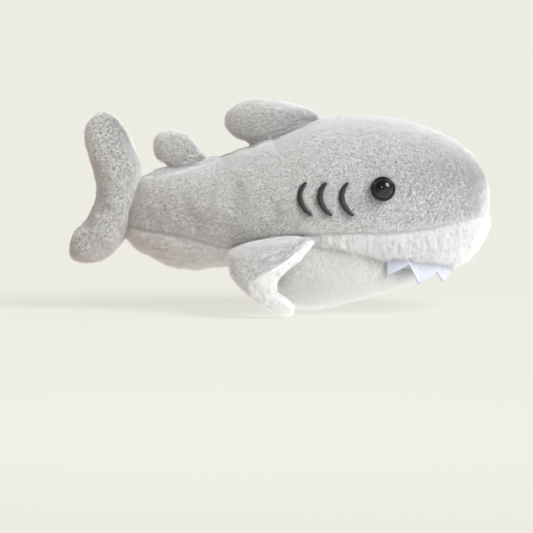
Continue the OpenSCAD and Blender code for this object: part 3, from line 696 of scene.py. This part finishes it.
def body_panel(name, loft, us, low, high, cols, seams, way, pile, sim=None, dents=True):
    """One sewn panel of the body: a grid over the loft, from share low to share high of each ring."""
    t = np.linspace(0, 1, cols)[None, :]
    fs = low[:, None] + (high - low)[:, None] * t
    p, around = loft.at(us, fs)
    middle = np.stack([p[..., 0], np.zeros_like(p[..., 1]), np.full_like(p[..., 2], 28 if loft is upper else 12)], -1)
    n = grid_normals(p, middle)
    if sim:
        p = p + moved_at(sim, us, fs)
    dip = np.zeros(fs.shape)
    if "low" in seams:
        dip = dip + seam_dip((fs - low[:, None]) * around[:, None])
    if "high" in seams:
        dip = dip + seam_dip((high[:, None] - fs) * around[:, None])
    if "start" in seams:
        dip = dip + seam_dip(np.abs(p[..., 0] - p[:1, :, 0]))
    if "end" in seams:
        dip = dip + seam_dip(np.abs(p[-1:, :, 0] - p[..., 0]))
    deep = PILE_ROOM + np.minimum(dip, 1.0) - plush_lumps(p)
    if dents:
        deep = deep + body_dents(p)
    p = p - n * deep[..., None]
    return skin_mesh(name, p, n, BODY_CLOTH, combed(n, way), pile)


def steps(length, size):
    return int(length / size) + 1


PANEL_US = np.linspace(0, 1, steps(112, BODY_STEP))
seam = seam_share(PANEL_US)
side_cols = steps(62, BODY_STEP)
zero = np.zeros_like(PANEL_US)
back_left = body_panel("plush_back_left", upper, PANEL_US, zero, seam, side_cols, ("low", "high"),
                       (-1, 0, -0.35), 1.05, "body")
back_right = body_panel("plush_back_right", upper, PANEL_US, 1 - seam, zero + 1, side_cols, ("low", "high"),
                        (-1, 0, -0.35), 1.05, "body")
grey_pile = dict(density=55, width=0.048, stand=0.6, lean=0.45, tuft=0.85)
dress(back_left, GREY, GREY_PILE, "grey_plush", ["back_panel_left", "body_stuffing"], seed=11, **grey_pile)
dress(back_right, GREY, GREY_PILE, "grey_plush", ["back_panel_right"], seed=12, **grey_pile)

under = (seam < 0.4995) & (PANEL_US > 0.001) & (PANEL_US < 0.999)
tail_u, nose_u = PANEL_US[under][0], PANEL_US[under][-1]


def under_panel(name, first, last, seams, way, pile):
    us = np.linspace(first, last, steps(112 * (last - first), BODY_STEP))
    low = seam_share(us)
    return body_panel(name, upper, us, low, 1 - low, steps(50, BODY_STEP), seams, way, pile, "body")


belly = under_panel("plush_belly", tail_u, UNDER_SPLIT, ("low", "high", "end"), (-1, 0, -0.1), 1.6)
muzzle = under_panel("plush_muzzle", UNDER_SPLIT, nose_u, ("low", "high", "start"), (0.25, 0, -1), 2.4)
white_pile = dict(density=42, width=0.052, stand=0.6, lean=0.7, tuft=1.4)
dress(belly, WHITE, WHITE_PILE, "white_plush", ["belly_panel"], seed=21, **white_pile)
dress(muzzle, WHITE, WHITE_PILE, "white_plush", ["muzzle_panel"], seed=22, **white_pile)

jaw_us = np.linspace(0, 1, steps(60, BODY_STEP))
jaw_rows = body_rows(JAW, jaw_us)
jaw_edge = jaw.share_at(jaw_us, jaw_rows[:, 2] + 0.8 * (jaw_rows[:, 1] - jaw_rows[:, 2]))
chin = body_panel("plush_chin", jaw, jaw_us, jaw_edge, 1 - jaw_edge, steps(76, BODY_STEP), ("low", "high"),
                  (-0.7, 0, -0.7), 1.1, dents=False)
dress(chin, PALE, PALE_PILE, "pale_plush", ["chin_panel", "chin_stuffing"], seed=31, **grey_pile)
lining = body_panel("plush_mouth_lining", jaw, jaw_us, -jaw_edge, jaw_edge, steps(40, BODY_STEP),
                    ("low", "high"), (-0.7, 0, -0.7), 1.1, dents=False)
dress(lining, PALE, PALE_PILE, "pale_plush", ["mouth_lining"], seed=32, **grey_pile)
for ob in (back_left, back_right, belly, muzzle, chin, lining):
    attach(ob, "body")

# ---- fins ----


def fin_panel(name, points, sim, us, side, way, pile, flat_end=False):
    """One cover of a fin, v = side to side + 1 of its rings, with its rim turned in at the seam.
    flat_end says that its last ring closes to a line, where both covers meet."""
    half = steps(26, FIN_STEP)
    vs = np.broadcast_to(np.arange(2 * half) / half, (len(us), 2 * half))
    ring = points(us, vs) + moved_at(sim, us, vs / 2)
    wrapped = np.concatenate([ring[:, -1:], ring, ring[:, :1]], axis=1)
    n = unit(np.cross(np.gradient(wrapped, axis=0), np.gradient(wrapped, axis=1)))[:, 1:-1]
    n *= np.sign(np.sum(n * (ring - ring.mean(axis=1, keepdims=True))))
    for end, near in ((0, 1), (-1, -2)):
        if np.ptp(ring[end], axis=0).max() < 0.05:
            n[end] = unit(n[near].mean(axis=0))
    columns = (np.arange(half + 1) + side * half) % (2 * half)
    p, n = ring[:, columns], n[:, columns]
    length = np.cumsum(np.linalg.norm(np.diff(p, axis=1, prepend=p[:, :1]), axis=-1), axis=1)
    dip = seam_dip(length, 0.6, 0.7) + seam_dip(length[:, -1:] - length, 0.6, 0.7)
    deep = FIN_PILE_ROOM + np.minimum(dip, 0.6) - plush_lumps(p, 0.8)
    cloth = np.full(deep.shape, FIN_CLOTH)
    if flat_end:
        n[-1] = n[-2]
        close = np.sqrt(np.clip((1 - us) / 0.12, 0, 1))[:, None]
        deep, cloth = deep * close, 0.05 + (cloth - 0.05) * close
    return skin_mesh(name, p - n * deep[..., None], n, cloth, combed(n, way), pile)


fin_pile = dict(density=55, width=0.048, stand=0.6, lean=0.45, tuft=0.85)
FIN_JOINTS = {
    "dorsal_fin": ((0.4, 0, 51.6), (-1.2, 0, 56.0), (-1, 0, 0.15)),
    "rear_dorsal_fin": ((-26.9, 0, 42.6), (-27.8, 0, 46.6), (-1, 0, 0.2)),
    "tail_fin": ((-41.0, 0, 28.0), (-46.5, 0, 28.0), (-0.7, 0, -0.7)),
}
for seed, (fin, (start, end, way)) in enumerate(FIN_JOINTS.items()):
    rows = FIN_ROWS[fin]
    us = np.linspace(0, 1, steps(54 if fin == "tail_fin" else 26, FIN_STEP))
    for k, side in enumerate(("right", "left")):
        cover = fin_panel(f"plush_{fin}_{side}", lambda a, b: fin_points(rows, a, b), fin, us, k, way, 1.05)
        dress(cover, GREY, GREY_PILE, "grey_plush", [f"{fin}_{side}", f"{fin}_stuffing"], seed=41 + 2 * seed + k, **fin_pile)
        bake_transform(cover)


pectoral_us = np.linspace(0, 1, steps(34, FIN_STEP))
COVERS = (
    ("upper", 0, GREY, GREY_PILE, "grey_plush", (-0.7, 0.1, -0.7), 1.1),
    ("lower", 1, WHITE, WHITE_PILE, "white_plush", (-0.3, 0, -1), 1.15),
)
for part, start, fabric, strands, slot_name, way, pile in COVERS:
    for side, flip in (("right", 1), ("left", -1)):
        cover = fin_panel(f"plush_pectoral_{side}_{part}", pectoral_points, "pectoral", pectoral_us, start,
                          way, pile, flat_end=True)
        if flip < 0:
            for v in cover.data.vertices:
                v.co.y *= -1
            comb = cover.data.attributes["comb"]
            for v in comb.data:
                v.vector.y *= -1
            cover.data.flip_normals()
        dress(cover, fabric, strands, slot_name, [f"pectoral_{side}_{part}", f"pectoral_{side}_stuffing"], seed=61 + start * 2 + (flip < 0),
              **(fin_pile if start == 0 else white_pile))
        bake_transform(cover)

# ---- felt teeth ----

MOUTH_X, MOUTH_REACH, MOUTH_HALF_WIDTH = 30.0, 21.6, 18.9
FELT_TOP = (17.9, 17.0)  # at the corners of the mouth and at its front
FELT_EDGE = ((0, 11.2), (0.2, 14.4), (0.29, 8.7), (0.49, 12.0), (0.58, 9.1), (1, 14.4))  # share of the way, height
FELT = 0.85
FELT_COLUMNS_A_SLOPE, FELT_ROWS = 16, 16
TUCK = 1.7


def felt_grid():
    """The felt's outer surface, hung round the mouth with its top tucked under the lip, and its way out."""
    stops, heights = zip(*FELT_EDGE)
    side = np.concatenate([np.linspace(a, b, FELT_COLUMNS_A_SLOPE, endpoint=False) for a, b in zip(stops, stops[1:])])
    turn = np.concatenate([side - 1, [0], 1 - side[::-1]])[:, None]
    t = np.linspace(0, 1, FELT_ROWS)[None, :]
    s = 1 - np.abs(turn)
    angle = turn * math.pi / 2
    way = unit(np.concatenate([np.cos(angle) / MOUTH_REACH, np.sin(angle) / MOUTH_HALF_WIDTH, 0 * angle], axis=1))
    x = MOUTH_X + MOUTH_REACH * np.cos(angle)
    y = MOUTH_HALF_WIDTH * np.sin(angle)
    top = FELT_TOP[0] + (FELT_TOP[1] - FELT_TOP[0]) * s
    low = np.interp(s, stops, heights)
    z = top + (low - top) * t
    p = np.stack([x - 1.6 * t * s, y + 0 * t, z], axis=-1)
    curl = 0.3 * noise(p * (1, 1, 0.5), 4.5, 17) * t + 0.03 * noise(p, 0.5, 19)
    return p + way[:, None, :] * (curl - TUCK * (1 - t))[..., None], np.broadcast_to(way[:, None, :], p.shape)


def felt_material():
    """Pressed felt: short matted fibres in every direction."""
    m, tree = new_material("felt")
    where = add(tree, "ShaderNodeTexCoord").outputs["Object"]
    bent = add(tree, "ShaderNodeTexNoise", {"Vector": where, "Scale": 1 / (0.5 * MM), "Detail": 4.0, "Distortion": 2.5})
    ramp = add(tree, "ShaderNodeValToRGB", {"Fac": bent.outputs["Fac"]})
    ramp.color_ramp.elements[0].position, ramp.color_ramp.elements[0].color = 0.3, rgb(158, 160, 174)
    ramp.color_ramp.elements[1].position, ramp.color_ramp.elements[1].color = 0.7, rgb(188, 190, 202)
    bump = add(tree, "ShaderNodeBump", {"Height": bent.outputs["Fac"], "Strength": 0.6, "Distance": 0.12 * MM})
    shader = add(tree, "ShaderNodeBsdfPrincipled", {
        "Base Color": ramp.outputs["Color"], "Roughness": 0.95, "Specular IOR Level": 0.1,
        "Sheen Weight": 0.2, "Normal": bump.outputs["Normal"]})
    add(tree, "ShaderNodeOutputMaterial", {"Surface": shader.outputs[0]})
    return m


felt_outer, felt_way = felt_grid()
FELT_PILE = strand_material("felt_pile", rgb(214, 217, 234), rgb(190, 193, 214))
teeth = skin_mesh("felt_teeth", felt_outer, felt_way, FELT, combed(felt_way, (0, 0, -1)), 0.22)
teeth.data.materials.append(felt_material())
grow_pile(teeth, FELT_PILE, density=30, width=0.03, stand=0.35, lean=0.9, tuft=0.4, seed=71)
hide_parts("teeth_strip")
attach(teeth, "body")

# ---- stitched gills ----

thread, tree = new_material("thread")
where = add(tree, "ShaderNodeTexCoord").outputs["Object"]
twist = add(tree, "ShaderNodeTexNoise", {"Vector": where, "Scale": 1 / (0.2 * MM), "Detail": 2.0})
ramp = add(tree, "ShaderNodeValToRGB", {"Fac": twist.outputs["Fac"]})
ramp.color_ramp.elements[0].color, ramp.color_ramp.elements[1].color = rgb(8, 8, 9), rgb(30, 30, 32)
shader = add(tree, "ShaderNodeBsdfPrincipled", {
    "Base Color": ramp.outputs["Color"], "Roughness": 0.55, "Sheen Weight": 0.15})
add(tree, "ShaderNodeOutputMaterial", {"Surface": shader.outputs[0]})

STITCHES, STITCH_RADIUS = 26, 0.21
rng = np.random.default_rng(5)
for side, side_name in ((1, "left"), (-1, "right")):
    curve = bpy.data.curves.new("gill_threads_" + side_name, "CURVE")
    curve.dimensions, curve.bevel_depth, curve.bevel_resolution, curve.use_fill_caps = "3D", STITCH_RADIUS * MM, 2, True
    for i, k in itertools.product(range(3), range(STITCHES)):
        t = k / (STITCHES - 1)
        half = 0.68 * (0.55 + 0.45 * math.sqrt(max(1 - (2 * t - 1) ** 6, 0))) * rng.uniform(0.8, 1.2)
        ends = [(-half, -0.5), (-0.8 * half, 0.15), (0.0, 0.42), (0.8 * half, 0.15), (half, -0.5)]
        line = curve.splines.new("POLY")
        line.points.add(len(ends) - 1)
        for point, (across, out) in zip(line.points, ends):
            at = gill_point(i, min(t + 0.02 * across, 1), side, across, out - 0.15)
            point.co = (*(at * MM), 1)
    ob = bpy.data.objects.new(curve.name, curve)
    bpy.context.scene.collection.objects.link(ob)
    curve.materials.append(thread)
    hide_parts("gill_stitches_" + side_name)
    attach(ob, "body")

# ---- safety eyes ----

plastic, tree = new_material("eye_plastic")
where = add(tree, "ShaderNodeTexCoord").outputs["Object"]
haze = add(tree, "ShaderNodeTexNoise", {"Vector": where, "Scale": 1 / (1.5 * MM), "Detail": 3.0})
gloss = add(tree, "ShaderNodeMapRange", {"Value": haze.outputs["Fac"], "To Min": 0.06, "To Max": 0.14})
shader = add(tree, "ShaderNodeBsdfPrincipled", {
    "Base Color": (0.004, 0.004, 0.0045, 1), "Roughness": gloss.outputs[0], "Specular IOR Level": 0.35})
add(tree, "ShaderNodeOutputMaterial", {"Surface": shader.outputs[0]})

EYE_PROFILE = [(0.0, -6.5), (1.1, -6.5), (1.2, -6.3), (1.2, 0.1), (1.4, 0.15), (3.0, 0.15), (3.35, 0.25), (3.5, 0.5),
               (3.45, 0.75), (3.25, 0.93), (3.0, 0.96), (2.84, 0.9)]
dome = [(2.8 * math.cos(a), 0.95 + 2.2 * math.sin(a)) for a in np.linspace(0, math.pi / 2, 22)]
EYE_PROFILE = EYE_PROFILE + dome
TURNS = 72
for side, side_name in ((1, "left"), (-1, "right")):
    point, normal = side_point(*EYE_AT, side)
    turn_to = Vector(normal).to_track_quat("Z", "Y").to_matrix()
    bm = bmesh.new()
    rings = []
    for r, h in EYE_PROFILE:
        ring = []
        for k in range(TURNS if r > 1e-6 else 1):
            a = 2 * math.pi * k / TURNS
            local = turn_to @ Vector((r * math.cos(a), r * math.sin(a), h))
            ring.append(bm.verts.new((Vector(point) + local) * MM))
        rings.append(ring)
    for low_ring, high_ring in zip(rings[:-1], rings[1:]):
        for k in range(TURNS):
            corners = [low_ring[k % len(low_ring)], low_ring[(k + 1) % len(low_ring)],
                       high_ring[(k + 1) % len(high_ring)], high_ring[k % len(high_ring)]]
            corners = list(dict.fromkeys(corners))
            if len(corners) > 2:
                bm.faces.new(corners)
    mesh = bpy.data.meshes.new("safety_eye_" + side_name)
    bmesh.ops.recalc_face_normals(bm, faces=bm.faces)
    bm.to_mesh(mesh)
    bm.free()
    mesh.shade_smooth()
    mesh.materials.append(plastic)
    ob = bpy.data.objects.new(mesh.name, mesh)
    bpy.context.scene.collection.objects.link(ob)
    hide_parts("eye_" + side_name)
    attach(ob, "body")

# ---- the washers inside keep their CAD shape ----

washer, tree = new_material("washer_plastic")
where = add(tree, "ShaderNodeTexCoord").outputs["Object"]
frost = add(tree, "ShaderNodeTexNoise", {"Vector": where, "Scale": 1 / (0.4 * MM), "Detail": 3.0})
ramp = add(tree, "ShaderNodeValToRGB", {"Fac": frost.outputs["Fac"]})
ramp.color_ramp.elements[0].color, ramp.color_ramp.elements[1].color = rgb(214, 214, 208), rgb(240, 240, 236)
shader = add(tree, "ShaderNodeBsdfPrincipled", {"Base Color": ramp.outputs["Color"], "Roughness": 0.4})
add(tree, "ShaderNodeOutputMaterial", {"Surface": shader.outputs[0]})
for name in ("eye_washer_left", "eye_washer_right"):
    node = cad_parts[name]
    node.data.materials.clear()
    node.data.materials.append(washer)

# ---- floor, light and camera ----

BACKGROUND = rgb(237, 236, 227)
KEY = dict(strength=4.2, height=40, turn=60, angle=35)
FILL = dict(strength=0.6, height=8, turn=50, angle=60)
ROOM_TAIL = (0.27, 0.24, 0.21, 1)
ROOM_NOSE = (0.46, 0.48, 0.48, 1)
FLOOR_TAIL = (0.9, 0.74, 0.6, 1)
FLOOR_NOSE = (1.7, 1.7, 1.66, 1)
FLOOR_SHADE = 0.2


def sun(name, strength, height, turn, angle):
    """Soft light from that height above the floor, turned from the viewer's side towards the nose."""
    lamp = bpy.data.lights.new(name, "SUN")
    lamp.energy, lamp.angle = strength, math.radians(angle)
    ob = bpy.data.objects.new(name, lamp)
    h, t = math.radians(height), math.radians(turn)
    source = Vector((math.sin(t) * math.cos(h), -math.cos(t) * math.cos(h), math.sin(h)))
    ob.rotation_euler = source.to_track_quat("Z", "Y").to_euler()
    bpy.context.scene.collection.objects.link(ob)


sun("key", **KEY)
sun("fill", **FILL)
glint = bpy.data.lights.new("glint", "AREA")
glint.energy, glint.size = 0.12, 0.05
glint_lamp = bpy.data.objects.new("glint", glint)
glint_lamp.location = Vector((-20, -330, 160)) * MM
glint_lamp.rotation_euler = (glint_lamp.location - Vector((29, -23, 36)) * MM).to_track_quat("Z", "Y").to_euler()
bpy.context.scene.collection.objects.link(glint_lamp)

# The room is darker and warmer at the tail's end. The camera sees it as one plain colour.
world = bpy.data.worlds.new("studio")
world.use_nodes = True
room = world.node_tree
room.nodes.clear()
toward = add(room, "ShaderNodeSeparateXYZ", {0: add(room, "ShaderNodeTexCoord").outputs["Generated"]})
across = add(room, "ShaderNodeMapRange", {"Value": toward.outputs["X"], "From Min": -0.9, "From Max": 0.9})
tint = add(room, "ShaderNodeMix", {0: across.outputs[0], "A": ROOM_TAIL, "B": ROOM_NOSE}, data_type="RGBA")
around = add(room, "ShaderNodeBackground", {"Color": tint.outputs["Result"]})
plain = add(room, "ShaderNodeBackground", {"Color": BACKGROUND})
ray = add(room, "ShaderNodeLightPath")
shown = add(room, "ShaderNodeMixShader", {0: ray.outputs["Is Camera Ray"], 1: around.outputs[0], 2: plain.outputs[0]})
add(room, "ShaderNodeOutputWorld", {"Surface": shown.outputs[0]})
bpy.context.scene.world = world
bpy.context.scene.view_settings.view_transform = "Standard"

floor_mesh = bpy.data.meshes.new("floor")
R = 6.0
floor_mesh.from_pydata([(-R, -R, 0), (R, -R, 0), (R, R, 0), (-R, R, 0)], [], [(0, 1, 2, 3)])
floor = bpy.data.objects.new("floor", floor_mesh)
bpy.context.scene.collection.objects.link(floor)
floor_material, tree = new_material("floor")
lit = sum(s["strength"] * math.sin(math.radians(s["height"])) for s in (KEY, FILL)) / math.pi
albedo = [c / ((a + b) / 2 + lit) for c, a, b in zip(BACKGROUND, ROOM_TAIL, ROOM_NOSE[:3])]
paint = add(tree, "ShaderNodeBsdfDiffuse", {"Color": (*albedo, 1)})
glow = add(tree, "ShaderNodeEmission", {"Color": BACKGROUND})
seen = add(tree, "ShaderNodeMixShader", {0: FLOOR_SHADE, 1: glow.outputs[0], 2: paint.outputs[0]})
place = add(tree, "ShaderNodeSeparateXYZ", {0: add(tree, "ShaderNodeTexCoord").outputs["Object"]})
across = add(tree, "ShaderNodeMapRange", {"Value": place.outputs["X"], "From Min": -50 * MM, "From Max": 10 * MM})
tint = add(tree, "ShaderNodeMix", {0: across.outputs[0], "A": FLOOR_TAIL, "B": FLOOR_NOSE}, data_type="RGBA")
bounce = add(tree, "ShaderNodeEmission", {"Color": tint.outputs["Result"]})
ray = add(tree, "ShaderNodeLightPath")
both = add(tree, "ShaderNodeMixShader", {0: ray.outputs["Is Camera Ray"], 1: bounce.outputs[0], 2: seen.outputs[0]})
add(tree, "ShaderNodeOutputMaterial", {"Surface": both.outputs[0]})
floor_mesh.materials.append(floor_material)

camera_data = bpy.data.cameras.new("camera")
camera_data.lens, camera_data.sensor_width = 250, 36
camera = bpy.data.objects.new("camera", camera_data)
bpy.context.scene.collection.objects.link(camera)
look = Vector((-3.86, 0, 12.2)) * MM
height = math.radians(5)
camera.location = look + Vector((0, -math.cos(height), math.sin(height))) * (250 / 36 * 152.3 * MM)
camera.rotation_euler = (math.pi / 2 - height, 0, 0)
camera_data.clip_start = 0.01
bpy.context.scene.camera = camera
